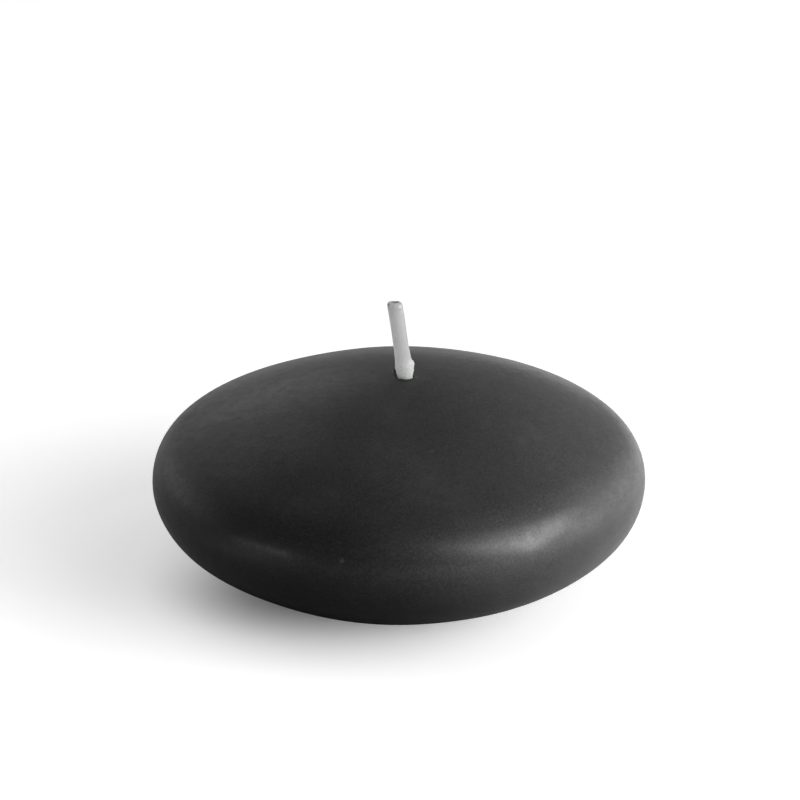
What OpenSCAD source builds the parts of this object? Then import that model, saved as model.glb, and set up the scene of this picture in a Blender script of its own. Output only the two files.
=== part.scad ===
// Floating candle: a lens-shaped body of wax with a waxed wick, which a pressed steel tab holds from below.
// Millimetres. The origin is the middle of the flat foot, and +Z points up the body's axis.

/* [Wax body] */
// Diameter at the widest line, the waist
body_d = 80; // [60:1:110]
// Height of the domed crown above the waist
crown_h = 16.9; // [13:0.1:24]
// Radius of the rounded rim above the waist
crown_rim_r = 8.65; // [4:0.05:11]
// Depth of the underside's whole curve below the waist, before the foot cuts it flat
belly_h = 20.6; // [16:0.1:28]
// Radius of the rounded rim below the waist
belly_rim_r = 10.9; // [5:0.1:14]
// How much of the underside's curve the flat foot cuts away
foot_cut = 3.1; // [2:0.1:5]
// Radius that softens the edge of the foot
foot_edge_r = 2.05; // [0.5:0.05:4]

/* [Wick] */
// Diameter of the waxed wick
wick_d = 2.5; // [1.5:0.1:3.5]
// Distance of the wick from the body's axis, to the right
wick_offset = 1.1; // [0:0.1:3]
// Height of the middle of the cut tip above the crown
wick_rise = 12.8; // [8:0.1:20]
// Lean of the free end to the left, in degrees
wick_lean = 8; // [2:0.5:15]
// Radius of the bend at the mouth of the hole
wick_bend_r = 4; // [3:0.5:8]
// Radius that softens the cut tip
wick_tip_r = 0.3; // [0.1:0.05:0.6]
// How far the wick's lower end stands out below the tab
wick_stub = 0.3; // [0.1:0.05:0.4]

/* [Wax bead on the wick] */
// Distance from the bend to the bead's widest line
bead_mid = 1.8; // [1.5:0.1:3]
// How far the widest line stands out from the wick
bead_out = 0.3; // [0.2:0.05:0.5]
// How far the bead lies to the right of the wick's middle
bead_shift = 0.12; // [0:0.02:0.16]
// Radius of the bead's curve above the widest line
bead_upper_r = 1.2; // [0.8:0.1:2]
// Radius of the bead's curve below the widest line
bead_lower_r = 3.6; // [2:0.1:5]

/* [Wick hole] */
// Smallest gap between the wick and its hole, on the right
hole_gap = 0.1; // [0.05:0.05:0.4]
// How far the hole's axis lies to the left of the wick's
hole_shift = 0.15; // [0:0.05:0.5]
// Radius that softens the mouth of the hole
mouth_r = 0.4; // [0.1:0.05:0.8]

/* [Wick tab] */
// Diameter of the tab's disc
tab_d = 14; // [10:0.5:18]
// Thickness of the tab's steel sheet
sheet_t = 0.3; // [0.2:0.05:0.5]
// Height of the neck above the disc
neck_h = 4; // [2.5:0.5:8]
// Inner radius of the bend between the disc and the neck
neck_bend_r = 0.4; // [0.2:0.05:0.8]
// Gap all round between the wick and the neck
neck_gap = 0.05; // [0.02:0.01:0.15]
// Depth of the round recess that keeps the tab clear of the table
recess_h = 1.2; // [1:0.1:2.5]
// Gap between the wax and the tab's edges
tab_gap = 0.4; // [0.1:0.05:1]

/* [Hidden] */
$fn = 128;

// Radius of the large arc that peaks on the axis at height h and runs smoothly into a rim of radius r at distance x
function large_arc_r(x, h, r) = (x * x + h * h - r * r) / (2 * (h - r));

// The body's crown and underside each have one large arc, centred on the axis
body_r = body_d / 2;
crown_arc_r = large_arc_r(body_r - crown_rim_r, crown_h, crown_rim_r);
belly_arc_r = large_arc_r(body_r - belly_rim_r, belly_h, belly_rim_r);
waist_z = belly_h - foot_cut;
body_h = waist_z + crown_h;

// The foot's edge is an arc that touches both the table and the underside's arc
belly_arc_z = belly_arc_r - foot_cut;
foot_flat_r = sqrt(pow(belly_arc_r - foot_edge_r, 2) - pow(belly_arc_z - foot_edge_r, 2));
foot_edge_out = [foot_flat_r, foot_edge_r - belly_arc_z] / (belly_arc_r - foot_edge_r);

// The wick comes out of the crown at the height mouth_z
wick_r = wick_d / 2;
hole_r = wick_r + hole_gap + hole_shift;
hole_x = wick_offset - hole_shift;
mouth_z = body_h - crown_arc_r + sqrt(crown_arc_r * crown_arc_r - wick_offset * wick_offset);

// The tab lies against the top of its recess, and its neck stands in a pocket above
neck_in_r = wick_r + neck_gap;
neck_out_r = neck_in_r + sheet_t;
pocket_r = neck_out_r + neck_bend_r + tab_gap;
tab_z = recess_h - sheet_t;
wick_bottom = tab_z - wick_stub;

// Half of the bend lies below the mouth, and the free end runs straight from its top to the cut tip
bend_z = mouth_z - wick_bend_r * sin(wick_lean) / 2;
free_len = (wick_rise - wick_bend_r * sin(wick_lean) / 2) / cos(wick_lean);

// Longer than the body is wide, for shapes that only cut
far = 2 * body_d;
// How far a cutter reaches past the face that it cuts
past = 1;

// Fan between two directions, from a corner at the origin
module fan(from, to) {
    polygon([[0, 0], far * from, far * (from + to), far * to]);
}

// The outline given as a child, with its corner between two directions turned into an arc round a centre
module rounded_corner(centre, r, from, to) {
    difference() {
        children();
        translate(centre) fan(from, to);
    }
    translate(centre)
        intersection() {
            circle(r = r);
            fan(from, to);
        }
}

// Right half of a dome of height h over the waist: a large arc that runs smoothly into a rim of radius rim_r
module dome_outline(h, rim_r, arc_r) {
    rim_x = body_r - rim_r;
    outward = [rim_x, arc_r - h] / (arc_r - rim_r);
    rounded_corner([rim_x, 0], rim_r, [1, 0], outward)
        intersection() {
            translate([0, h - arc_r]) circle(r = arc_r);
            square([far, h]);
        }
}

// Right half of the body's section, with the foot at height 0
module body_outline() {
    rounded_corner([foot_flat_r, foot_edge_r], foot_edge_r, foot_edge_out, [0, -1])
        intersection() {
            translate([0, waist_z]) {
                dome_outline(crown_h, crown_rim_r, crown_arc_r);
                mirror([0, 1]) dome_outline(belly_h, belly_rim_r, belly_arc_r);
            }
            square([far, body_h]);
        }
}

// Cutter for the wick's hole, with a mouth that rounds over into the crown
module hole_cutter() {
    cylinder(r = hole_r, h = body_h + past);
    translate([0, 0, body_h - mouth_r])
        rotate_extrude()
            difference() {
                square([hole_r + mouth_r, mouth_r + past]);
                translate([hole_r + mouth_r, 0]) circle(r = mouth_r);
            }
}

// Cutter for the recess of the tab's disc and the pocket of its neck
module tab_cutter() {
    translate([0, 0, -past]) cylinder(r = tab_d / 2 + tab_gap, h = recess_h + past);
    cylinder(r = pocket_r, h = recess_h + neck_h + tab_gap);
}

module wax_body() {
    color([0.13, 0.13, 0.135])
        difference() {
            rotate_extrude() body_outline();
            translate([hole_x, 0, 0]) hole_cutter();
            translate([wick_offset, 0, 0]) tab_cutter();
        }
}

// Free end at the origin, with the edge of its cut tip softened
module wick_free_end() {
    rotate_extrude()
        rounded_corner([wick_r - wick_tip_r, free_len - wick_tip_r], wick_tip_r, [1, 0], [0, 1])
            square([wick_r, free_len]);
}

// Bead of wax at the origin: a short curve above its widest line and a long one below
module bead() {
    widest_r = wick_r + bead_out;
    rotate_extrude() {
        intersection() {
            translate([widest_r - bead_upper_r, 0]) circle(r = bead_upper_r);
            square([widest_r, bead_upper_r]);
        }
        intersection() {
            translate([widest_r - bead_lower_r, 0]) circle(r = bead_lower_r);
            translate([0, -bead_lower_r]) square([widest_r, bead_lower_r]);
        }
    }
}

module wick() {
    color([0.8, 0.8, 0.78])
        translate([wick_offset, 0, 0]) {
            translate([0, 0, wick_bottom]) cylinder(r = wick_r, h = bend_z - wick_bottom);
            translate([-wick_bend_r, 0, bend_z]) {
                rotate([90, 0, 0])
                    rotate_extrude(angle = wick_lean)
                        translate([wick_bend_r, 0]) circle(r = wick_r);
                rotate([0, -wick_lean, 0]) {
                    translate([wick_bend_r, 0, 0]) wick_free_end();
                    translate([wick_bend_r + bead_shift, 0, bead_mid]) bead();
                }
            }
        }
}

// Section of the pressed sheet: disc, bend and neck, with the disc's underside at height 0
module tab_outline() {
    fold_x = neck_out_r + neck_bend_r;
    fold_z = sheet_t + neck_bend_r;
    translate([fold_x, 0]) square([tab_d / 2 - fold_x, sheet_t]);
    translate([neck_in_r, fold_z]) square([sheet_t, neck_h - neck_bend_r]);
    translate([fold_x, fold_z])
        intersection() {
            difference() {
                circle(r = neck_bend_r + sheet_t);
                circle(r = neck_bend_r);
            }
            translate([-far, -far]) square(far);
        }
}

module wick_tab() {
    color("silver")
        translate([wick_offset, 0, tab_z])
            rotate_extrude() tab_outline();
}

wax_body();
wick();
wick_tab();
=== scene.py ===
"""Floating candle of black wax, dressed for a studio picture.

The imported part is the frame: metres, the candle standing on its foot at the origin, its axis along +Z and the
photograph's camera on the -Y side. The wax body and the wick are modelled again at the part's own sizes, with the
small unevenness of the real ones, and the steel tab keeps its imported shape.
"""
import logging
import math
from collections.abc import Mapping, Sequence
from dataclasses import dataclass
from enum import Enum
from functools import reduce
from itertools import pairwise

import bpy
import numpy as np
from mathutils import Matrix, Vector, noise


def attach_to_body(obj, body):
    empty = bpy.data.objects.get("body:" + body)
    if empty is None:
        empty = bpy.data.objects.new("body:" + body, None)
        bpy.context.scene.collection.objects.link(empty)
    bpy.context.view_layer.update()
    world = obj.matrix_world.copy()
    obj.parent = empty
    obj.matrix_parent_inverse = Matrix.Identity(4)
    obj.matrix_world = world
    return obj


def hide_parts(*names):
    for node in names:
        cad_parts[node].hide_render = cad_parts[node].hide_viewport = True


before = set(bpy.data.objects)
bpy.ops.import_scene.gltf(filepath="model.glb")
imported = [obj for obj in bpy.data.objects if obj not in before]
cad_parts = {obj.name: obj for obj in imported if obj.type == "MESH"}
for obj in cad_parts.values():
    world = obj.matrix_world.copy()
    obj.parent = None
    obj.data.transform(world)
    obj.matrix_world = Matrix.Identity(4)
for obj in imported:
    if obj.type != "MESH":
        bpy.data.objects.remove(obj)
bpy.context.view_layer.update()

log = logging.getLogger("floating_candle")

MM = 0.001

Point2 = tuple[float, float]
Point3 = tuple[float, float, float]
Colour = tuple[float, float, float]


class Push(Enum):
    """Ways in which a weighted part of a piece can be pushed."""

    ALONG_X = "X"
    ALONG_Z = "Z"
    OUTWARDS = "NORMAL"


class Slot(Enum):
    """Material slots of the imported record."""

    WAX = "wax"
    WICK = "wick"
    STEEL = "steel"


# Modelling


def arc(centre: Point2, radius: float, start: float, end: float, count: int) -> list[Point2]:
    """Points along an arc of the section.

    Args:
        centre: Middle of the arc, in millimetres.
        radius: Radius in millimetres.
        start: Angle of the first point in degrees, from straight outwards towards straight up.
        end: Angle of the last point in degrees.
        count: Number of points.

    Returns:
        The points in order.
    """
    angles = [math.radians(start + (end - start) * i / (count - 1)) for i in range(count)]
    return [(centre[0] + radius * math.cos(a), centre[1] + radius * math.sin(a)) for a in angles]


def between(start: Point2, end: Point2, count: int) -> list[Point2]:
    """The count - 1 places that part the line from start to end into count equal lengths."""
    (x, z), (dx, dz) = start, (end[0] - start[0], end[1] - start[1])
    return [(x + dx * i / count, z + dz * i / count) for i in range(1, count)]


def ease(values: np.ndarray, start: float, end: float) -> np.ndarray:
    """Smooth step from 0 at start to 1 at end; start may be the larger."""
    t = np.clip((values - start) / (end - start), 0, 1)
    return t * t * (3 - 2 * t)


def ripple(places: np.ndarray, length: float, shift: Point3 = (0, 0, 0)) -> np.ndarray:
    """Smooth unevenness at each place.

    Args:
        places: Places in millimetres, one row each.
        length: Distance in millimetres over which the unevenness changes.
        shift: Moves the pattern, so that two calls differ.

    Returns:
        Values from about -1 to 1.
    """
    offset = Vector(shift)
    return np.array([noise.noise(Vector(p) / length + offset) for p in places])


class Bench:
    """Modelling steps that the pieces share, done as by hand."""

    @staticmethod
    def clear() -> None:
        """Leave edit mode and deselect everything."""
        if bpy.context.mode != "OBJECT":
            bpy.ops.object.mode_set(mode="OBJECT")
        bpy.ops.object.select_all(action="DESELECT")

    @classmethod
    def take(cls, piece: bpy.types.Object) -> None:
        """Make one piece the active and only selected object.

        Args:
            piece: The piece.
        """
        cls.clear()
        piece.select_set(True)
        bpy.context.view_layer.objects.active = piece

    @staticmethod
    def named(name: str) -> bpy.types.Object:
        """Name the object that was just added, with its mesh, and return it."""
        bpy.context.object.name = bpy.context.object.data.name = name
        return bpy.context.object

    @classmethod
    def trace(cls, name: str, outline: Sequence[Point2]) -> bpy.types.Object:
        """Draw a closed outline in the XZ plane, edge after edge.

        Args:
            name: Name of the new piece.
            outline: Points of the outline in millimetres.

        Returns:
            The piece, left in edit mode.
        """
        cls.clear()
        bpy.ops.mesh.primitive_plane_add(size=MM)
        piece = cls.named(name)
        bpy.ops.object.mode_set(mode="EDIT")
        bpy.ops.mesh.select_all(action="SELECT")
        bpy.ops.mesh.merge(type="CENTER")
        points = [Vector((x, 0, z)) * MM for x, z in (*outline, outline[0])]
        bpy.ops.transform.translate(value=points[0])
        for last, following in pairwise(points):
            bpy.ops.mesh.extrude_region_move(TRANSFORM_OT_translate={"value": following - last})
        bpy.ops.mesh.select_all(action="SELECT")
        bpy.ops.mesh.remove_doubles(threshold=0.001 * MM)
        return piece

    @classmethod
    def turn(cls, name: str, outline: Sequence[Point2], steps: int) -> bpy.types.Object:
        """Turn a closed outline round the Z axis into a ring-shaped solid.

        Args:
            name: Name of the new piece.
            outline: Points of the half section in millimetres.
            steps: Number of steps of the full turn.

        Returns:
            The piece, in object mode.
        """
        piece = cls.trace(name, outline)
        bpy.ops.mesh.spin(steps=steps, angle=math.tau, center=(0, 0, 0), axis=(0, 0, 1))
        cls.close_up(piece)
        return piece

    @classmethod
    def close_up(cls, piece: bpy.types.Object) -> None:
        """Merge doubled points, turn all faces outwards and go back to object mode.

        Args:
            piece: The piece, in edit mode.
        """
        bpy.ops.mesh.select_all(action="SELECT")
        bpy.ops.mesh.remove_doubles(threshold=0.001 * MM)
        bpy.ops.mesh.normals_make_consistent(inside=False)
        bpy.ops.object.mode_set(mode="OBJECT")
        cls.take(piece)

    @staticmethod
    def places(piece: bpy.types.Object) -> np.ndarray:
        """Read where a piece's points lie.

        Args:
            piece: The piece.

        Returns:
            The places in millimetres, one row each.
        """
        flat = np.zeros(len(piece.data.vertices) * 3, np.float32)
        piece.data.vertices.foreach_get("co", flat)
        return flat.reshape(-1, 3).astype(float) / MM

    @classmethod
    def push(cls, piece: bpy.types.Object, name: str, way: Push, weights: np.ndarray) -> None:
        """Push a piece's points by weights, with a Displace modifier that is applied.

        Args:
            piece: The piece.
            name: Name of the vertex group, a maker's word for the feature.
            way: Direction of the push.
            weights: Length of the push at each point in millimetres, negative for inwards or back.
        """
        cls.take(piece)
        for sign in (1, -1):
            reach = float((weights * sign).max())
            if reach <= 0:
                continue
            group = piece.vertex_groups.new(name=name)
            for index in np.flatnonzero(weights * sign > 0):
                group.add([int(index)], float(weights[index] * sign / reach), "REPLACE")
            modifier = piece.modifiers.new(name, "DISPLACE")
            modifier.direction = way.value
            modifier.mid_level = 0
            modifier.strength = reach * sign * MM
            modifier.vertex_group = group.name
            bpy.ops.object.modifier_apply(modifier=modifier.name)
            piece.vertex_groups.clear()

    @classmethod
    def smooth(cls, piece: bpy.types.Object, angle: float) -> None:
        """Shade a piece smooth, apart from its sharp edges.

        Args:
            piece: The piece.
            angle: Degrees from which an edge counts as sharp.
        """
        cls.take(piece)
        bpy.ops.object.shade_smooth_by_angle(angle=math.radians(angle))
        bpy.ops.object.select_all(action="DESELECT")


# Finishes


class Wire:
    """A node's output, on which Python's arithmetic adds Math nodes."""

    def __init__(self, board: "Board", socket: bpy.types.NodeSocket) -> None:
        """Wrap one output socket of a board."""
        self.board = board
        self.socket = socket

    def _with(self, operation: str, first: "Wire | float", second: "Wire | float") -> "Wire":
        """Add one Math node and return its output."""
        return self.board.add("ShaderNodeMath", {"operation": operation}, {0: first, 1: second})

    def __add__(self, other: "Wire | float") -> "Wire":
        """Sum."""
        return self._with("ADD", self, other)

    __radd__ = __add__

    def __sub__(self, other: "Wire | float") -> "Wire":
        """Difference."""
        return self._with("SUBTRACT", self, other)

    def __rsub__(self, other: "Wire | float") -> "Wire":
        """Difference from a number."""
        return self._with("SUBTRACT", other, self)

    def __mul__(self, other: "Wire | float") -> "Wire":
        """Product."""
        return self._with("MULTIPLY", self, other)

    __rmul__ = __mul__

    def __truediv__(self, other: "Wire | float") -> "Wire":
        """Quotient."""
        return self._with("DIVIDE", self, other)

    def __pow__(self, other: "Wire | float") -> "Wire":
        """Power."""
        return self._with("POWER", self, other)

    def most(self, other: "Wire | float") -> "Wire":
        """The larger of two."""
        return self._with("MAXIMUM", self, other)

    def least(self, other: "Wire | float") -> "Wire":
        """The smaller of two."""
        return self._with("MINIMUM", self, other)

    def fade(self, start: float, end: float) -> "Wire":
        """Smooth step from 0 to 1.

        Args:
            start: Value at which it is 0, which may be the larger of the two.
            end: Value at which it is 1.

        Returns:
            The step.
        """
        low, high = (start, end) if start < end else (end, start)
        step = self.board.add(
            "ShaderNodeMapRange",
            {"interpolation_type": "SMOOTHSTEP"},
            {"Value": self, "From Min": low, "From Max": high, "To Min": 0.0, "To Max": 1.0},
        )
        return step if start < end else 1 - step


class Board:
    """A material's or world's node board."""

    def __init__(self, owner: bpy.types.Material | bpy.types.World) -> None:
        """Clear the owner's node tree and keep it at hand.

        Args:
            owner: The material or world.
        """
        owner.use_nodes = True
        self.tree = owner.node_tree
        self.tree.nodes.clear()

    def node(
        self,
        kind: str,
        settings: Mapping[str, object] | None = None,
        inputs: Mapping[str | int, object] | None = None,
    ) -> bpy.types.Node:
        """Add any node.

        Args:
            kind: Blender's name of the node's type.
            settings: Properties of the node, set first. The key stops holds a ramp's places and colours.
            inputs: A value or a Wire for each input socket, by name or number.

        Returns:
            The node.
        """
        made = self.tree.nodes.new(kind)
        for key, value in (settings or {}).items():
            if key == "stops":
                ramp = made.color_ramp.elements
                while len(ramp) > 1:
                    ramp.remove(ramp[0])
                for place, colour in value:
                    stop = ramp[0] if place == value[0][0] else ramp.new(place)
                    stop.position = place
                    stop.color = (*colour, 1) if isinstance(colour, tuple) else (colour, colour, colour, 1)
            else:
                setattr(made, key, value)
        for key, value in (inputs or {}).items():
            if isinstance(value, Wire):
                self.tree.links.new(value.socket, made.inputs[key])
            elif isinstance(value, tuple) and len(value) == 3 and made.inputs[key].type == "RGBA":
                made.inputs[key].default_value = (*value, 1)
            else:
                made.inputs[key].default_value = value
        return made

    def add(
        self,
        kind: str,
        settings: Mapping[str, object] | None = None,
        inputs: Mapping[str | int, object] | None = None,
        output: str | int = 0,
    ) -> Wire:
        """Add any node and return one of its outputs, the first unless output names another."""
        return Wire(self, self.node(kind, settings, inputs).outputs[output])

    def here(self) -> Wire:
        """The object's own coordinates, in metres."""
        return self.add("ShaderNodeTexCoord", output="Object")

    def stretched(self, place: Wire, scale: Point3) -> Wire:
        """Coordinates scaled along each axis."""
        return self.add("ShaderNodeMapping", inputs={"Vector": place, "Scale": scale})

    def cloud(self, place: Wire, size: float, detail: float = 2, rough: float = 0.5) -> Wire:
        """Cloudy noise from 0 to 1, with blots about size millimetres across."""
        inputs = {"Vector": place, "Scale": 1 / (size * MM), "Detail": detail, "Roughness": rough}
        return self.add("ShaderNodeTexNoise", inputs=inputs)

    def away(self, place: Wire, point: Point3) -> Wire:
        """Distance from a point.

        Args:
            place: Coordinates in metres.
            point: The point, in millimetres.

        Returns:
            The distance in millimetres.
        """
        at = tuple(c * MM for c in point)
        far = self.add("ShaderNodeVectorMath", {"operation": "DISTANCE"}, {0: place, 1: at}, output="Value")
        return far / MM

    def along(self, vector: Wire, way: Vector) -> Wire:
        """Length of a vector's part along a direction."""
        inputs = {0: vector, 1: tuple(way)}
        return self.add("ShaderNodeVectorMath", {"operation": "DOT_PRODUCT"}, inputs, output="Value")

    def blend(self, factor: Wire, first: "Wire | Colour", second: "Wire | Colour") -> Wire:
        """Mix two colours.

        Args:
            factor: Share of the second colour, from 0 to 1.
            first: A colour.
            second: Another colour.

        Returns:
            The mixed colour.
        """
        mix = self.node("ShaderNodeMix", {"data_type": "RGBA"})
        self.tree.links.new(factor.socket, mix.inputs["Factor"])
        for socket, colour in ((mix.inputs[6], first), (mix.inputs[7], second)):
            if isinstance(colour, Wire):
                self.tree.links.new(colour.socket, socket)
            else:
                socket.default_value = (*colour, 1)
        return Wire(self, mix.outputs[2])

    def relief(self, height: Wire, depth: float) -> Wire:
        """Normal of a relief whose height from 0 to 1 stands for depth millimetres."""
        inputs = {"Height": height, "Distance": depth * MM, "Strength": 1.0}
        return self.add("ShaderNodeBump", inputs=inputs, output="Normal")

    def finish(self, inputs: Mapping[str | int, object], through: Wire | None = None) -> None:
        """Add the surface shader and end the board with it.

        Args:
            inputs: The shader's inputs, by name.
            through: Share of the light that passes into the piece and comes out elsewhere, from 0 to 1.
        """
        shader = self.node("ShaderNodeBsdfPrincipled", inputs=inputs)
        if through is not None:
            inner = self.node("ShaderNodeBsdfTranslucent", inputs={"Color": (1.0, 1.0, 1.0)})
            mix = self.node("ShaderNodeMixShader", inputs={0: through})
            self.tree.links.new(shader.outputs[0], mix.inputs[1])
            self.tree.links.new(inner.outputs[0], mix.inputs[2])
            shader = mix
        out = self.node("ShaderNodeOutputMaterial")
        self.tree.links.new(shader.outputs[0], out.inputs["Surface"])


@dataclass(frozen=True)
class WaxMark:
    """A pale mark on the wax: small ones are specks of the pale film and a smudge, broad ones are patches of painted
    sheen.

    Args:
        place: Middle of the mark, in millimetres.
        size: Radius in millimetres.
        strength: How much of the light tint it takes on, from 0 to 1.
    """

    place: Point3
    size: float
    strength: float


@dataclass(frozen=True)
class BlackWax:
    """Satin black candle wax, dyed through, with a thin uneven pale film and broad patches of painted sheen on its
    crown.

    Args:
        deep: The wax where its grain is darkest.
        lighter: The wax where its grain is palest.
        bloom_and_sheen: The pale film on it, whose tint also paints the sheen.
        rough: Roughness under the shine.
        shine: Strength of the clearer shine on top, at its middle.
        grain_size: Size of the grains, in millimetres.
        relief: Depth of the grain, in millimetres.
        screened: Middle, in millimetres after the scaling, of the oblong patch in front of the wick. The wick keeps
            light from it, so its shine is duller.
        screened_stretch: Scaling that makes that patch oblong.
        marks: Places where the pale tint is stronger: specks of the film and a smudge where small, patches of
            painted sheen on the crown where broad.
    """

    name: str = "black_wax"
    deep: Colour = (0.008, 0.008, 0.0082)
    lighter: Colour = (0.028, 0.028, 0.0285)
    bloom_and_sheen: Colour = (0.075, 0.075, 0.075)
    rough: float = 0.5
    shine: float = 0.3
    grain_size: float = 0.35
    relief: float = 0.014
    screened: Point3 = (0.9, -2.4, 12)
    screened_stretch: Point3 = (1, 0.35, 0.35)
    marks: tuple[WaxMark, ...] = (
        WaxMark((-8.6, -38.66, 20.09), 0.42, 0.75),
        WaxMark((-27.19, -28.77, 14.52), 0.3, 0.5),
        WaxMark((5.11, -21.79, 30.85), 0.45, 0.3),
        WaxMark((21.59, -29.39, 24.47), 0.35, 0.4),
        WaxMark((19.42, -15.5, 30.0), 1.1, 0.2),
        # Broad marks from here on paint sheen onto the crown; the three behind the wick lighten its far edge most.
        WaxMark((22.1, -14.2, 29.4), 5.5, 0.13),
        WaxMark((13.5, -12.0, 31.9), 4.5, 0.07),
        WaxMark((-3.4, 15.0, 32.8), 4.4, 0.4),
        WaxMark((5.4, 14.6, 32.8), 4.2, 0.32),
        WaxMark((10.0, 17.5, 31.5), 4.0, 0.2),
        WaxMark((-12.5, 8.8, 32.6), 4.2, 0.09),
        WaxMark((-23.6, -11.5, 29.3), 4.5, 0.06),
    )

    def make(self) -> bpy.types.Material:
        """Build the material.

        Returns:
            The material.
        """
        material = bpy.data.materials.new(self.name)
        board = Board(material)
        here = board.here()
        grain = board.cloud(here, self.grain_size, 2, 0.6)
        fine = grain.fade(0.25, 0.75)
        tone = board.cloud(here, 22, 3).fade(0.3, 0.7) * 0.45 + fine * 0.85 - 0.15
        tone = board.blend(tone.most(0), self.deep, self.lighter)
        film_and_sheen = board.cloud(here, 9, 4, 0.6).fade(0.5, 0.8) * 0.16 + grain.fade(0.55, 0.8) * 0.08
        # Small marks are bloom specks and a smudge; the broad ones paint sheen into the colour.
        for mark in self.marks:
            ragged = board.cloud(here, max(0.6, mark.size * 0.8), 3, 0.6)
            spot = board.away(here, mark.place) + ragged * (mark.size * (1.4 if mark.size > 2 else 0.6))
            film_and_sheen = film_and_sheen.most(spot.fade(mark.size * 1.6, mark.size * 0.5) * mark.strength)
        colour = board.blend(film_and_sheen.least(1.0), tone, self.bloom_and_sheen)
        dull = board.away(board.stretched(here, self.screened_stretch), self.screened).fade(3.4, 1.2)
        rough = self.rough + board.cloud(here, 3, 3) * 0.08 + film_and_sheen * 0.12 + dull * 0.12 - 0.04
        height = board.cloud(here, 0.9, 3, 0.55) * 0.7 + grain * 0.3
        inputs = {"Base Color": colour, "Roughness": rough, "Normal": board.relief(height, self.relief)}
        patches = board.cloud(here, 1.6, 3, 0.6).fade(0.3, 0.7)
        gloss = (fine * 0.6 + patches * 0.6 + 0.4) * (1 - dull * 0.75) * self.shine
        board.finish({**inputs, "Specular IOR Level": 0.45, "Coat Weight": gloss, "Coat Roughness": 0.24})
        return material


@dataclass(frozen=True)
class TipMark:
    """A dark or pale spot at the cut tip, drawn out sideways; some dark ones are painted shade and one pale one is a
    painted highlight.

    Args:
        place: Its middle, in millimetres from the middle of the cut.
        size: Half its height in millimetres.
        strength: How much of the tint it takes on, from 0 to 1.
    """

    place: Point3
    size: float
    strength: float


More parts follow.
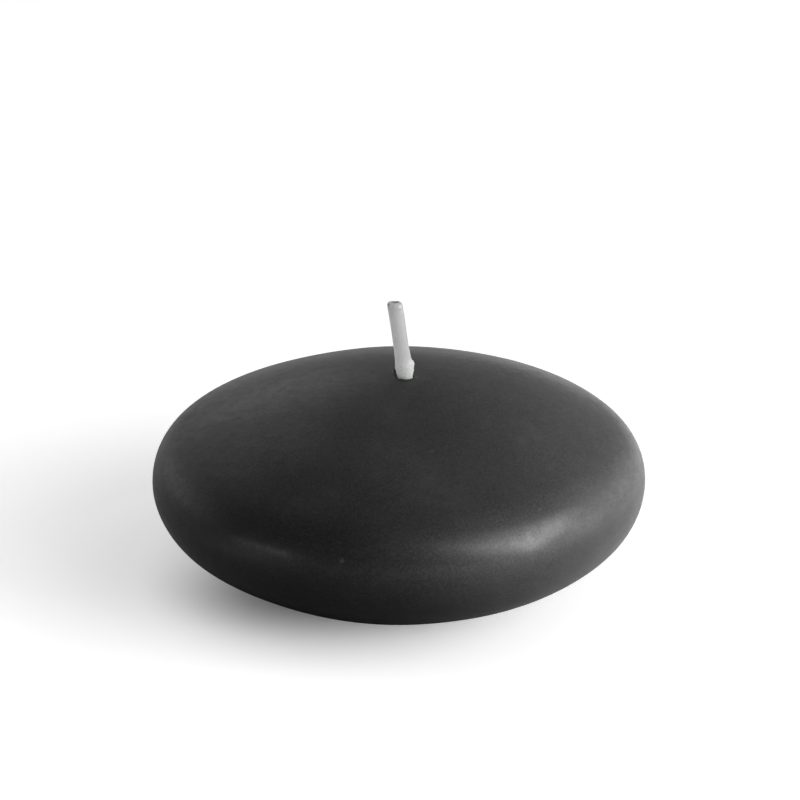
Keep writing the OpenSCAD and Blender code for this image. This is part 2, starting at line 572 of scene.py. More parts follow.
@dataclass(frozen=True)
class WaxedCotton:
    """White cotton under a film of pale wax.

    Args:
        tip: Middle of the cut end, in millimetres.
        mouth: Middle of the wick where it leaves the body, in millimetres.
        film: Wax where the film is thick.
        thread: Wax where the cotton shows through.
        core: Dark colour of the cut tip, for grains near it, for dark spots in the cut and for painted shade beside
            it.
        tinge: Faint green of the wax that lies on the body at the wick's foot.
        crust_and_highlight: Grains of wax on the bead, also the colour of the pale spots at the tip and of the
            painted highlight among them.
        rough: Roughness of the film.
        through: Share of the light that passes into the film and the cotton and comes out elsewhere.
        dark_spots_and_shade: Dark marks in and round the cut tip: two in the cut, and painted shade at its left
            corner and in a band under the painted highlight on its front.
        pale_spots_and_highlight: Pale marks there: one on the cut left of its middle, and a painted highlight on the
            front below the cut's right part.
    """

    tip: Vector
    mouth: Vector
    name: str = "waxed_cotton"
    film: Colour = (0.6, 0.6, 0.6)
    thread: Colour = (0.46, 0.46, 0.46)
    core: Colour = (0.04, 0.04, 0.04)
    tinge: Colour = (0.3, 0.46, 0.3)
    crust_and_highlight: Colour = (0.95, 0.95, 0.94)
    rough: float = 0.5
    through: float = 0.58
    dark_spots_and_shade: tuple[TipMark, ...] = (
        # The first two darken the cut; the last two paint shade, at the tip's left corner and in a band under the
        # painted highlight on its front.
        TipMark((0.12, 0.45, -0.1), 0.36, 0.97),
        TipMark((0.75, 0.75, -0.05), 0.3, 0.65),
        TipMark((-1.1, -0.6, -0.25), 0.26, 0.5),
        TipMark((0.75, -0.85, -0.9), 0.16, 0.6),
    )
    # The first paints a highlight on the tip's front; the second lightens the cut left of its middle.
    pale_spots_and_highlight: tuple[TipMark, ...] = (TipMark((0.78, -0.85, -0.45), 0.26, 0.9), TipMark((-0.5, 0.1, 0), 0.26, 0.5))

    def marked(self, board: Board, marks: Sequence[TipMark], rough: Wire) -> Wire:
        """Show some marks, each drawn out sideways.

        Args:
            board: The board to add to.
            marks: The marks.
            rough: Noise from 0 to 1 that frays their edges.

        Returns:
            How strongly the strongest mark shows, from 0 to 1.
        """
        flatter = 0.6
        place = board.stretched(board.here(), (flatter, 1, 1))
        shown = []
        for mark in marks:
            x, y, z = self.tip + Vector(mark.place)
            spot = board.away(place, (x * flatter, y, z)) + rough * (mark.size * 0.8)
            shown.append(spot.fade(mark.size * 1.7, mark.size * 0.9) * mark.strength)
        return reduce(Wire.most, shown)

    def make(self) -> bpy.types.Material:
        """Build the material.

        Returns:
            The material.
        """
        material = bpy.data.materials.new(self.name)
        board = Board(material)
        here = board.here()
        streak = board.cloud(board.stretched(here, (1, 1, 0.25)), 0.3, 3)
        blots = board.cloud(here, 0.8, 3)
        colour = board.blend((streak * 0.6 + blots * 0.4).fade(0.3, 0.7), self.thread, self.film)
        grain = board.cloud(here, 0.28, 3, 0.6)
        near_mouth = board.away(here, tuple(self.mouth)).fade(4.0, 2.2)
        side = board.add("ShaderNodeSeparateXYZ", inputs={0: here}, output="X") / MM - self.mouth.x
        rings = board.cloud(board.stretched(here, (1, 1, 1.6)), 0.3, 2, 0.6)
        colour = board.blend(near_mouth * 0.65, colour, self.crust_and_highlight)
        colour = board.blend(near_mouth * rings.fade(0.52, 0.36) * 0.7, colour, self.thread)
        colour = board.blend(near_mouth * rings.fade(0.44, 0.6) * side.fade(-2.2, 0.2), colour, self.crust_and_highlight)
        height = board.add("ShaderNodeSeparateXYZ", inputs={0: here}, output="Z") / MM - self.mouth.z
        tinged = (height + grain * 0.6).fade(1.05, 0.5) * height.fade(-3, -1) * side.fade(1.6, -0.4) * 0.8
        colour = board.blend(tinged, colour, self.tinge)
        near_tip = board.away(here, tuple(self.tip)).fade(2.2, 1.2)
        colour = board.blend(near_tip * grain.fade(0.6, 0.4) * 0.4, colour, self.core)
        # Pale spots, one of them a painted highlight on the tip's front.
        colour = board.blend(self.marked(board, self.pale_spots_and_highlight, grain), colour, self.crust_and_highlight)
        # Dark spots: two in the cut, and painted shade at the tip's left corner and in a band under the front
        # highlight.
        pit = self.marked(board, self.dark_spots_and_shade, grain)
        colour = board.blend(pit, colour, self.core)
        rough = self.rough + blots * 0.15
        relief = streak * 0.4 + grain * (near_mouth * 0.6 + near_tip * 0.4 + 0.25)
        inputs = {"Base Color": colour, "Roughness": rough, "Normal": board.relief(relief, 0.045)}
        board.finish(inputs, (1 - pit.most(tinged * 0.5)) * self.through)
        return material


@dataclass(frozen=True)
class TinnedSheet:
    """Bright pressed steel sheet.

    Args:
        bright: The clean sheet.
        dull: The sheet where it has stained.
        relief: Depth of the rolling marks, in millimetres.
    """

    name: str = "tinned_sheet"
    bright: Colour = (0.7, 0.7, 0.69)
    dull: Colour = (0.52, 0.52, 0.5)
    relief: float = 0.004

    def make(self) -> bpy.types.Material:
        """Build the material.

        Returns:
            The material.
        """
        material = bpy.data.materials.new(self.name)
        board = Board(material)
        here = board.here()
        rolled = board.cloud(board.stretched(here, (1, 0.05, 1)), 0.12, 2)
        stain = board.cloud(here, 2.5, 4)
        colour = board.blend((stain * 0.6 + rolled * 0.4).fade(0.35, 0.65), self.dull, self.bright)
        rough = 0.28 + rolled * 0.16 + stain * 0.1
        normal = board.relief(rolled, self.relief)
        board.finish({"Base Color": colour, "Metallic": 1.0, "Roughness": rough, "Normal": normal})
        return material


# Pieces


@dataclass
class WaxBody:
    """The lens-shaped body of wax, with sizes in millimetres, those up to foot_edge as the part names them.

    Args:
        hole: Radius of the wick's hole.
        mouth: Radius that softens the hole's mouth.
        gap: Width of the gap at the left of the wick's mouth.
        recess: Radius of the tab's recess, which is recess_depth deep.
        pocket: Radius of the pocket of the tab's neck, which reaches up to pocket_top.
        core_at: Distance of hole, recess and pocket from the body's axis, to the right.
        core_low: Distance from the axis up to which the underside follows them.
        core_high: Distance from the axis up to which the crown follows the hole.
        soft: Radius that softens the edges of recess and pocket.
        close_rows: Distance from the axis within which the crown's rows lie close.
        ease_reach: Length over which a change of curvature is spread.
        swells: Place, reach and height of each swell, or hollow where the height is negative.
        turn_steps: Steps of the full turn.
    """

    width: float = 80
    crown: float = 16.9
    crown_rim: float = 8.65
    belly: float = 20.6
    belly_rim: float = 10.9
    foot_cut: float = 3.1
    foot_edge: float = 2.05
    hole: float = 1.3
    mouth: float = 0.15
    gap: float = 0.34
    recess: float = 7.4
    recess_depth: float = 1.2
    pocket: float = 2.4
    pocket_top: float = 5.6
    core_at: float = 1.1
    core_low: float = 17
    core_high: float = 14
    soft: float = 0.2
    close_rows: float = 4.5
    ease_reach: float = 4
    swells: tuple[tuple[Point3, float, float], ...] = (
        ((18.5, -29.5, 8), 11, 0.3),
        ((20.5, 21, 28.2), 9, 0.22),
        ((-12.5, 24.5, 29), 8, -0.13),
        ((-39.3, -7.2, 17.7), 5, 0.09),
    )
    turn_steps: int = 256

    @property
    def waist(self) -> float:
        """Height of the widest line above the foot."""
        return self.belly - self.foot_cut

    @property
    def top(self) -> float:
        """Height of the crown above the foot."""
        return self.waist + self.crown

    def arc_radius(self, height: float, rim: float) -> float:
        """Radius of the large arc that peaks at height above the waist and runs into the rim."""
        reach = self.width / 2 - rim
        return (reach**2 + height**2 - rim**2) / (2 * (height - rim))

    def outline(self) -> list[Point2]:
        """Work out the half section.

        Returns:
            A closed loop, from the hole's mouth outwards, under the body and back up the hole.
        """
        crown_r = self.arc_radius(self.crown, self.crown_rim)
        belly_r = self.arc_radius(self.belly, self.belly_rim)
        crown_mid = (0, self.top - crown_r)
        belly_mid = (0, belly_r - self.foot_cut)
        crown_rim_mid = (self.width / 2 - self.crown_rim, self.waist)
        belly_rim_mid = (self.width / 2 - self.belly_rim, self.waist)
        crown_join = math.degrees(math.atan2(crown_rim_mid[1] - crown_mid[1], crown_rim_mid[0]))
        belly_join = -math.degrees(math.atan2(belly_mid[1] - belly_rim_mid[1], belly_rim_mid[0]))
        foot_x = math.sqrt((belly_r - self.foot_edge) ** 2 - (belly_mid[1] - self.foot_edge) ** 2)
        foot_join = -math.degrees(math.atan2(belly_mid[1] - self.foot_edge, foot_x))
        mouth_x = self.hole + self.mouth
        mouth_angle = math.degrees(math.acos(mouth_x / crown_r))
        mouth_z = crown_mid[1] + crown_r * math.sin(math.radians(mouth_angle))
        near_mouth = math.degrees(math.acos(self.close_rows / crown_r))
        soft, floor_z, roof_z = self.soft, self.recess_depth, self.pocket_top
        rise = mouth_z - self.mouth - roof_z
        skin = [
            *arc(crown_mid, crown_r, mouth_angle, near_mouth, 26)[:-1],
            *arc(crown_mid, crown_r, near_mouth, crown_join, 46)[:-1],
            *arc(crown_rim_mid, self.crown_rim, crown_join, 0, 26)[:-1],
            *arc(belly_rim_mid, self.belly_rim, 0, belly_join, 22)[:-1],
            *arc(belly_mid, belly_r, belly_join, foot_join, 20),
        ]
        return [
            *arc((mouth_x, mouth_z - self.mouth), self.mouth, 180, 92, 8),
            *self.eased(skin)[:-1],
            *arc((foot_x, self.foot_edge), self.foot_edge, foot_join, -90, 7),
            *between((foot_x, 0), (self.recess + soft, 0), 12),
            *arc((self.recess + soft, soft), soft, -90, -180, 5),
            *arc((self.recess - soft, floor_z - soft), soft, 0, 90, 5),
            *between((self.recess - soft, floor_z), (self.pocket + soft, floor_z), 6),
            *arc((self.pocket + soft, floor_z + soft), soft, -90, -180, 5),
            *[(self.pocket, floor_z + soft + i) for i in (1, 2, 3)],
            *arc((self.pocket - soft, roof_z - soft), soft, 0, 90, 5),
            (self.hole + 0.3, roof_z),
            *[(self.hole, roof_z + rise * (i / 14) ** 0.6) for i in range(14)],
        ]

    def eased(self, line: list[Point2]) -> list[Point2]:
        """Spread the sudden changes of curvature of a line, and keep its ends and the body's width.

        Args:
            line: Places along the half section.

        Returns:
            As many places.
        """
        p = np.array(line)
        run = np.concatenate(([0], np.cumsum(np.hypot(*np.diff(p, axis=0).T))))
        fine = np.linspace(0, run[-1], 1200)
        dense = np.stack([np.interp(fine, run, p[:, k]) for k in (0, 1)], axis=1)
        made = []
        for place in run:
            reach = max(min(self.ease_reach, place, run[-1] - place), 0.01)
            near = np.clip(np.abs(fine - place) / reach, 0, 1)
            weight = 1 + np.cos(math.pi * near)
            weight = weight if weight.sum() > 0 else (near == near.min()).astype(float)
            made.append(weight @ dense / weight.sum())
        made[0], made[-1] = p[0], p[-1]
        widest = max(x for x, _ in made)
        full = self.width / 2
        return [(x * (1 + (full / widest - 1) * ease(x, full / 2, full)), z) for x, z in made]

    def build(self) -> bpy.types.Object:
        """Model the body.

        Returns:
            The finished piece, with its material.
        """
        body = Bench.turn("wax_body_skin", self.outline(), self.turn_steps)
        p = Bench.places(body)
        out = np.hypot(p[:, 0], p[:, 1])
        low = p[:, 2] < self.waist
        far_edge = np.where(low, self.core_low, self.core_high)
        near_edge = np.where(low, self.recess + self.soft, self.hole + self.mouth)
        Bench.push(body, "core", Push.ALONG_X, self.core_at * (1 - ease(out, near_edge, far_edge)))
        Bench.push(body, "gap_at_the_wick", Push.ALONG_X, self.shrinkage(Bench.places(body)))
        Bench.push(body, "groove_at_the_wick", Push.ALONG_Z, self.groove(Bench.places(body)))
        Bench.push(body, "hand_made_unevenness", Push.OUTWARDS, self.unevenness(Bench.places(body)))
        Bench.smooth(body, 40)
        body.data.materials.append(BlackWax().make())
        return body

    def shrinkage(self, p: np.ndarray) -> np.ndarray:
        """Gap at the left of the wick's mouth, where the wax shrank away from it as it set.

        Args:
            p: Places of the points in millimetres.

        Returns:
            Push to the right at each point, in millimetres.
        """
        side, back = p[:, 0] - self.core_at, p[:, 1]
        out = np.maximum(np.hypot(side, back), 0.01)
        open_side = math.radians(172)
        turned = (side * math.cos(open_side) + back * math.sin(open_side)) / out
        return -self.gap * ease(turned, 0.05, 0.85) * ease(out, 3.2, 1.6) * ease(p[:, 2], self.waist, self.top - 2)

    def groove(self, p: np.ndarray) -> np.ndarray:
        """Groove that runs back from the gap, and the low collar of wax against the wick's front.

        Args:
            p: Places of the points in millimetres.

        Returns:
            Push upwards at each point, in millimetres.
        """
        side, back = p[:, 0] - self.core_at, p[:, 1]
        out = np.maximum(np.hypot(side, back), 0.01)
        line = -1.5 - 0.09 * back
        depth = np.interp(back, (-0.9, -0.3, 1.5, 2.7, 3.3), (0, 0.4, 0.5, 0.32, 0))
        collar = 0.15 * ease(-back / out, -0.3, 0.5) * ease(out, 2.3, 1.45)
        cut = depth * ease(np.abs(side - line), 0.36, 0.14)
        return (collar - cut) * ease(p[:, 2], self.top - 1.5, self.top - 0.6) * ease(out, 1.2, 1.34)

    def unevenness(self, p: np.ndarray) -> np.ndarray:
        """Shallow hollows of the crown and rim, and swells where they leave the body's overall size as it is.

        Args:
            p: Places of the points in millimetres.

        Returns:
            Push along the normal at each point, in millimetres.
        """
        out = np.hypot(p[:, 0], p[:, 1])
        open_skin = ease(p[:, 2], 1, 6) * ease(out, 2.5, 6)
        broad = 0.5 - 0.5 * ripple(p, 26, (3, 1, 7))
        fine = 0.5 - 0.5 * ripple(p, 7, (9, 4, 2))
        rim = 1 - 0.75 * ease(out, 30, 38)
        swells = np.zeros(len(p))
        for place, reach, height in self.swells:
            swells += height * np.exp(-((np.linalg.norm(p - np.array(place), axis=1) / reach) ** 2))
        return open_skin * (swells - rim * (0.10 * broad + 0.03 * fine))


@dataclass
class Wick:
    """The waxed wick, with sizes in millimetres and degrees, as in the part but for the tip and the bead.

    Args:
        at: Distance from the body's axis, to the right.
        bottom: Height of its lower end.
        mouth_z: Height at which it leaves the crown.
        rise: Height of the middle of the cut tip above that.
        tip_soft: Radius that softens the cut tip.
        sides: Points round it.
        step: Height of its rows.
        bead_right: Height above the mouth and thickness of the bead, down its right side.
        bead_left: The same, down its left side.
    """

    radius: float = 1.25
    at: float = 1.1
    bottom: float = 0.6
    mouth_z: float = 34.3916
    rise: float = 12.8
    lean: float = 8
    bend: float = 4
    tip_soft: float = 0.36
    sides: int = 96
    step: float = 0.1
    bead_right: tuple[Point2, ...] = (
        (-0.4, -0.1), (0.1, -0.1), (0.9, 0.17), (1.6, 0.34), (2.05, 0.45),
        (2.34, 0.42), (2.5, 0.2), (3.1, 0.1), (3.9, 0.03), (4.8, 0),
    )
    bead_left: tuple[Point2, ...] = (
        (-0.4, 0.02), (0.1, 0.06), (0.8, 0.1), (1.3, 0.18), (1.75, 0.24),
        (2.4, 0.19), (3.2, 0.1), (4.3, 0.03), (5.2, 0),
    )

    @property
    def turn(self) -> float:
        """The lean in radians."""
        return math.radians(self.lean)

    @property
    def bend_z(self) -> float:
        """Height at which the bend starts."""
        return self.mouth_z - self.bend * math.sin(self.turn) / 2

    @property
    def free_length(self) -> float:
        """Length of the straight free end."""
        return (self.rise - self.bend * math.sin(self.turn) / 2) / math.cos(self.turn)

    @property
    def along(self) -> Vector:
        """Direction of the free end."""
        return Vector((-math.sin(self.turn), 0, math.cos(self.turn)))

    @property
    def across(self) -> Vector:
        """Direction square to the free end, to the right."""
        return Vector((math.cos(self.turn), 0, math.sin(self.turn)))

    @property
    def start(self) -> Vector:
        """Middle of the free end's lower end, in millimetres."""
        side = self.at - self.bend * (1 - math.cos(self.turn))
        return Vector((side, 0, self.bend_z + self.bend * math.sin(self.turn)))

    def build(self) -> bpy.types.Object:
        """Model the wick.

        Returns:
            The finished piece, with its material.
        """
        Bench.clear()
        foot = (self.at * MM, 0, self.bottom * MM)
        bpy.ops.mesh.primitive_circle_add(
            vertices=self.sides, radius=self.radius * MM, fill_type="NGON", location=foot
        )
        wick = Bench.named("wick_braid")
        bpy.ops.object.transform_apply(location=True, rotation=True, scale=True)
        bpy.ops.object.mode_set(mode="EDIT")
        bpy.ops.mesh.select_all(action="SELECT")
        hidden = self.bend_z - 1.5 - self.bottom
        self.grow(Vector((0, 0, hidden)), 12)
        self.grow(Vector((0, 0, 1.5)), 15)
        middle = ((self.at - self.bend) * MM, 0, self.bend_z * MM)
        bpy.ops.mesh.spin(steps=6, angle=self.turn, center=middle, axis=(0, 1, 0))
        self.grow(self.along * (self.free_length - self.tip_soft), round(self.free_length / self.step))
        self.round_tip()
        Bench.close_up(wick)
        up, side, front = self.own_places(wick)
        Bench.push(wick, "bead_of_wax", Push.OUTWARDS, self.bead(up, side, front))
        Bench.push(wick, "braid_under_wax", Push.OUTWARDS, self.braid(up, side, front))
        Bench.push(wick, "cut_tip", Push.ALONG_Z, self.cut(up, side, front))
        Bench.smooth(wick, 60)
        tip = self.start + self.along * self.free_length
        wick.data.materials.append(WaxedCotton(tip, Vector((self.at, 0, self.mouth_z))).make())
        return wick

    def grow(self, travel: Vector, steps: int) -> None:
        """Extrude the selected end along travel, in millimetres, in equal steps."""
        for _ in range(steps):
            bpy.ops.mesh.extrude_region_move(TRANSFORM_OT_translate={"value": travel * (MM / steps)})

    def round_tip(self) -> None:
        """Round the cut tip's edge by steps of extrusion and scaling, and fill it with closer and closer rings."""
        tip = self.start + self.along * (self.free_length - self.tip_soft)
        last_out, last_up = self.radius, 0.0
        rings = [
            (self.radius - self.tip_soft * (1 - math.cos(a)), self.tip_soft * math.sin(a))
            for a in (math.radians(15 * i) for i in range(1, 7))
        ]
        flat = self.radius - self.tip_soft
        rings += [(flat * (1 - i / 10), self.tip_soft) for i in range(1, 10)]
        for out, up in rings:
            travel = self.along * ((up - last_up) * MM)
            bpy.ops.mesh.extrude_region_move(TRANSFORM_OT_translate={"value": travel})
            middle = (tip + self.along * up) * MM
            bpy.ops.transform.resize(value=(out / last_out,) * 3, center_override=middle)
            last_out, last_up = out, up
        bpy.ops.mesh.poke()

    def own_places(self, wick: bpy.types.Object) -> tuple[np.ndarray, np.ndarray, np.ndarray]:
        """Say where the wick's points lie from its mouth, along and across its lean.

        Args:
            wick: The piece.

        Returns:
            Heights up the wick, distances to the right and distances to the front, in millimetres.
        """
        p = Bench.places(wick) - np.array((self.at, 0, self.mouth_z))
        up = np.where(p[:, 2] > 0, p @ np.array(self.along), p[:, 2])
        side = np.where(p[:, 2] > 0, p @ np.array(self.across), p[:, 0])
        return up, side, -p[:, 1]

    def bead(self, up: np.ndarray, side: np.ndarray, front: np.ndarray) -> np.ndarray:
        """Bead of wax that ran down and set: a shoulder to the right, a long swelling to the left, and lumps.

        Args:
            up: Heights of the points up the wick, in millimetres.
            side: Their distances to the right.
            front: Their distances to the front.

        Returns:
            Push outwards at each point, in millimetres.
        """
        right = np.interp(up, *zip(*self.bead_right))
        left = np.interp(up, *zip(*self.bead_left))
        turned = 0.5 + 0.5 * side / np.maximum(np.hypot(side, front), 0.01)
        p = np.column_stack((side, front, up))
        lumps = ripple(p, 0.75, (3, 8, 1)) * 0.07 + ripple(p, 0.34, (1, 5, 2)) * 0.035
        zone = ease(up, 3.4, 2.2) * ease(up, -0.6, 0.4)
        return left + (right - left) * ease(turned, 0.05, 0.95) + lumps * zone

    def braid(self, up: np.ndarray, side: np.ndarray, front: np.ndarray) -> np.ndarray:
        """Hollows between the strands, where the film of wax leaves them open, and the film's own slight waves.

        Args:
            up: Heights of the points up the wick, in millimetres.
            side: Their distances to the right.
            front: Their distances to the front.

        Returns:
            Push outwards at each point, in millimetres.
        """
        angle = np.arctan2(front, side)
        strands = np.cos(4 * angle + up * 2.1) * np.cos(4 * angle - up * 2.1)
        p = np.column_stack((side, front, up))
        open_part = ease(ripple(p, 2.2, (7, 2, 9)), -0.3, 0.5)
        waves = 0.5 - 0.5 * ripple(p, 3.0, (2, 2, 2))
        free = ease(up, 0.5, 2.5) * ease(np.hypot(side, front), 0.9, 1.1)
        return -free * (0.022 * open_part * (0.5 - 0.5 * strands) + 0.035 * waves)

    def cut(self, up: np.ndarray, side: np.ndarray, front: np.ndarray) -> np.ndarray:
        """The tip as it was cut: level, with a pit at the back, shallow dents and a lower right edge.

        Args:
            up: Heights of the points up the wick, in millimetres.
            side: Their distances to the right.
            front: Their distances to the front.

        Returns:
            Push upwards at each point, in millimetres.
        """
        from_mouth = self.start - Vector((self.at, 0, self.mouth_z))
        middle = self.along.dot(from_mouth)
        end = ease(up - middle, self.free_length - 0.9, self.free_length - 0.15)
        p = np.column_stack((side, front, up))
        shift = side - self.across.dot(from_mouth)
        pit = np.exp(-(((shift - 0.1) / 0.4) ** 2) - ((front + 0.45) / 0.5) ** 2)
        level = 0.13 * shift + 0.1 * ease(shift, 0.7, 1.3) + 0.02 * ease(shift, -0.7, -1.2)
        dents = 0.5 - 0.5 * ripple(p, 0.42, (4, 4, 1))
        return -end * (0.38 * pit + level + 0.06 * dents * ease(shift, 1.0, 0.5))


# Studio


def towards(azimuth: float, elevation: float) -> Vector:
    """Direction from the candle, in degrees from straight right towards the back and above the floor."""
    a, e = math.radians(azimuth), math.radians(elevation)
    return Vector((math.cos(a) * math.cos(e), math.sin(a) * math.cos(e), math.sin(e)))


@dataclass(frozen=True)
class Lamp:
    """A round soft box that faces the candle from a metre away.

    Args:
        name: What it is for.
        azimuth: Degrees from straight right, positive towards the back.
        elevation: Degrees above the floor.
        size: Diameter in metres.
        power: Watts.
    """

    name: str
    azimuth: float
    elevation: float
    size: float
    power: float

    def hang(self, target: Vector) -> bpy.types.Object:
        """Add the lamp.

        Args:
            target: Where it aims, in metres.

        Returns:
            The lamp.
        """
        data = bpy.data.lights.new(self.name, "AREA")
        data.shape = "DISK"
        data.size = self.size
        data.energy = self.power
        lamp = bpy.data.objects.new(self.name, data)
        bpy.context.scene.collection.objects.link(lamp)
        away = towards(self.azimuth, self.elevation)
        lamp.location = target + away
        lamp.rotation_euler = away.to_track_quat("Z", "Y").to_euler()
        lamp.visible_camera = False
        return lamp


@dataclass(frozen=True)
class Wall:
    """A pale stretch of the room's walls, which fades out all round over some 30 degrees.

    Args:
        azimuth: Degrees from straight right to its middle, positive towards the back.
        elevation: Degrees above the floor to its middle.
        level: Brightness of its middle, where 1 is white.
    """

    azimuth: float
    elevation: float
    level: float


@dataclass
class Studio:
    """White floor, soft boxes, pale walls and the photograph's camera.

    Args:
        floor_tone: Colour of the floor as the camera sees it.
        glow_outside_painted_shadow: Glow of the floor away from the spot that the candle leans over; less of it in
            that spot paints the candle's contact shadow.
        glow_left: Further glow to the left, which paints the cast shadow there lighter.
        glow_far: Further glow far off.
        gleam_back: What the wax mirrors of the floor behind it.
        gleam_right: The same to the right.
        gleam_far_right: The same to the right, far off.
        gleam_left: The same in a narrow strip to the left front, far off.
        bounce_left: Colour with which the left half of the floor throws light back, darker than the floor looks:
            painted shade on that half, in what the wax mirrors and in the light it throws back.
        bounce_right: The same for the right half.
        middle: Height of the candle's middle in metres, at which the lamps aim.
        camera_away: Distance of the camera from there, in metres.
        camera_up: Degrees above the floor at which the camera stands.
        camera_pitch: Degrees by which it looks down.
        camera_yaw: Degrees by which it is turned to the right.
        camera_lens: Focal length in millimetres, on a sensor of 36 mm.
    """

    floor_tone: float = 0.93
    glow_outside_painted_shadow: float = 0.38
    glow_left: float = 0.222
    glow_far: float = 0.08
    gleam_back: float = 0.268
    gleam_right: float = 0.14
    gleam_far_right: float = 0.4
    gleam_left: float = 0.3
    bounce_left: float = 0.12
    bounce_right: float = 0.93
    middle: float = 0.0175
    camera_away: float = 0.5
    camera_up: float = 23.872
    camera_pitch: float = 22.511
    camera_yaw: float = 0.0211
    camera_lens: float = 138.16
    lamps: tuple[Lamp, ...] = (
        Lamp("window_low_front", -45, 12, 0.25, 0.41),
        Lamp("window_low_middle", -30, 12, 0.25, 1.4),
        Lamp("window_front", -45, 22, 0.34, 0.9),
        Lamp("window_middle", -30, 22, 0.34, 2.45),
        Lamp("window_right", -15, 22, 0.34, 2.35),
        Lamp("window_high_left", -60, 32, 0.34, 0.38),
        Lamp("window_high_front", -45, 32, 0.34, 0.63),
        Lamp("window_high_middle", -15, 32, 0.34, 0.82),
        Lamp("window_high_right", 0, 32, 0.34, 0.92),
        Lamp("floor_card_front", -30, 5, 0.25, 0.72),
        Lamp("floor_card_right", 0, 6, 0.4, 0.75),
        Lamp("floor_card_corner", -5, 2, 0.4, 0.25),
        Lamp("floor_card_left", 202, 3, 0.2, 0.15),
        Lamp("floor_card_left_front", 216, 3, 0.2, 0.29),
        Lamp("back_card", 105, 20, 0.36, 0.136),
        Lamp("high_card_left", -60, 42, 0.36, 0.2),
        Lamp("high_card_front", -30, 42, 0.36, 0.55),
        Lamp("high_card_right", 30, 42, 0.36, 0.33),
        Lamp("high_card_corner", 60, 42, 0.36, 0.1),
        Lamp("high_card_back", 120, 42, 0.36, 0.12),
        Lamp("top_card_right", 0, 64, 0.36, 0.216),
        Lamp("top_card_back", 90, 64, 0.36, 0.125),
    )
    walls: tuple[Wall, ...] = (
        Wall(30, 8, 2.2),
        Wall(60, 8, 0.22),
        Wall(90, 8, 0.16),
        Wall(120, 8, 0.23),
        Wall(150, 8, 0.68),
        Wall(60, 40, 0.09),
        Wall(120, 40, 0.115),
    )

    def build(self) -> None:
        """Make the floor, the walls, the lamps and the camera."""
        self.lay_floor()
        self.raise_walls()
        for lamp in self.lamps:
            lamp.hang(Vector((0, 0, self.middle)))
        self.set_camera()
        bpy.context.scene.view_settings.view_transform = "Standard"

    def lay_floor(self) -> None:
        """Lay a wide white floor that shows its shadow, and that throws back less light than it shows."""
        Bench.clear()
        bpy.ops.mesh.primitive_plane_add(size=8)
        floor = Bench.named("floor")
        material = bpy.data.materials.new("white_floor")
        board = Board(material)
        seen = board.add("ShaderNodeLightPath", output="Is Camera Ray")
        side = board.add("ShaderNodeSeparateXYZ", inputs={0: board.here()}, output="X")
        # The darker left half paints shade into what the wax mirrors of the floor and into the light thrown back
        # onto it.
        bounce = board.blend(side.fade(0, 0.05), (self.bounce_left,) * 3, (self.bounce_right,) * 3)
        tone = board.blend(seen, bounce, (self.floor_tone,) * 3)
        inputs = {"Base Color": tone, "Roughness": 1.0, "Specular IOR Level": 0.0}
        board.finish({**inputs, "Emission Color": self.floor_glow(board), "Emission Strength": 1.0})
        floor.data.materials.append(material)

    def floor_glow(self, board: Board) -> Wire:
        """Light that the white room adds to the floor.

        The camera sees less of it where the candle leans over the floor, which paints the candle's contact shadow
        there, and more of it to the left, which paints the cast shadow there lighter. The wax mirrors what lies
        behind it, to its right and in a narrow strip to its left front. Nothing else is lit by it.

        Args:
            board: The floor's board.

        Returns:
            Strength of the glow.
        """
        here = board.here()
        way = board.add("ShaderNodeVectorMath", {"operation": "NORMALIZE"}, {0: here})
        far = board.away(here, (0, 0, 0))
        left, back, right = (board.along(way, towards(a, 0)) * 0.5 + 0.5 for a in (200, 90, 0))
        beside = far.fade(26, 45)
        # Less glow in this oblong spot at the candle's left front paints its contact shadow; the glow to the left
        # paints the cast shadow lighter there.
        outside_painted_shadow = board.away(board.stretched(here, (0.7, 1, 1)), (-8.4, -7, 0)).fade(0, 22)
        shown = outside_painted_shadow * self.glow_outside_painted_shadow + beside * left * self.glow_left
        shown = shown + far.fade(60, 160) * self.glow_far
        beyond = far.fade(30, 60) * self.gleam_right + far.fade(75, 110) * self.gleam_far_right
        low_left = board.along(way, towards(212, 0)).most(0) ** 40
        mirrored = beside * back * self.gleam_back + right * beyond
        mirrored = mirrored + low_left * far.fade(60, 85) * self.gleam_left
        camera = board.add("ShaderNodeLightPath", output="Is Camera Ray")
        gloss = board.add("ShaderNodeLightPath", output="Is Glossy Ray")
        return shown * camera + mirrored * gloss

    def raise_walls(self) -> None:
        """Make the world a dark room with pale walls that looks white to the camera.

        The wax mirrors the room and not the white, which would turn all of it grey.
        """
        world = bpy.data.worlds.new("room")
        bpy.context.scene.world = world
        board = Board(world)
        way = board.add("ShaderNodeTexCoord", output="Generated")
        light: Wire | float = 0.0
        for wall in self.walls:
            facing = board.along(way, towards(wall.azimuth, wall.elevation)).most(0)
            light = facing**10 * wall.level + light
        seen = board.add("ShaderNodeLightPath", output="Is Camera Ray")
        level = light * (1 - seen) + seen
        background = board.node("ShaderNodeBackground", inputs={"Color": (1, 1, 1), "Strength": level})
        out = board.node("ShaderNodeOutputWorld")
        board.tree.links.new(background.outputs[0], out.inputs["Surface"])

    def set_camera(self) -> None:
        """Place the camera as the photograph's outline of the wax gives it."""
        up, pitch, yaw = (math.radians(a) for a in (self.camera_up, self.camera_pitch, self.camera_yaw))
        data = bpy.data.cameras.new("camera")
        data.lens = self.camera_lens
        data.sensor_width = 36
        camera = bpy.data.objects.new("camera", data)
        bpy.context.scene.collection.objects.link(camera)
        camera.location = (0, -self.camera_away * math.cos(up), self.middle + self.camera_away * math.sin(up))
        camera.rotation_euler = (math.pi / 2 - pitch, 0, -yaw)
        bpy.context.scene.camera = camera


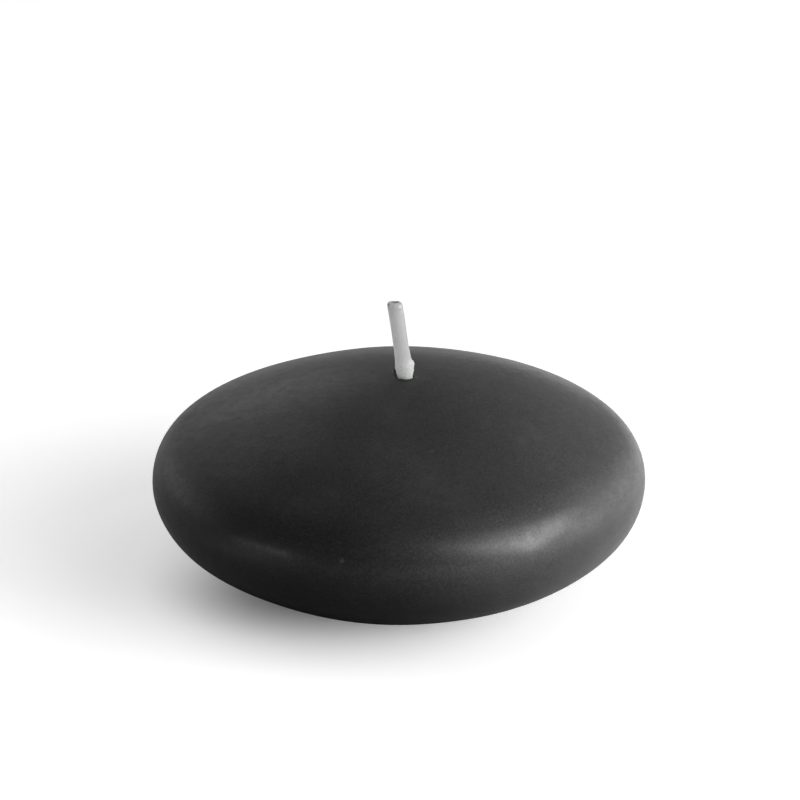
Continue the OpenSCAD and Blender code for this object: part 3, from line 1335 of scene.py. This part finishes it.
def attach(piece: bpy.types.Object, node: str) -> None:
    """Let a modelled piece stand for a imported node, on the one body.

    Args:
        piece: The piece.
        node: Name of the node that it replaces.
    """
    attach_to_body(piece, "root")
    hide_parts(node)
    log.info("%s stands for %s: %d faces", piece.name, node, len(piece.data.polygons))


def main() -> None:
    """Build the candle and its studio."""
    logging.basicConfig(level=logging.INFO, format="%(name)s: %(message)s")
    attach(WaxBody().build(), "wax_body")
    attach(Wick().build(), "wick")
    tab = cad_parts["wick_tab"]
    tab.data.materials.clear()
    tab.data.materials.append(TinnedSheet().make())
    log.info("wick_tab keeps its packed shape: %d faces", len(tab.data.polygons))
    Studio().build()


if __name__ == "__main__":
    main()
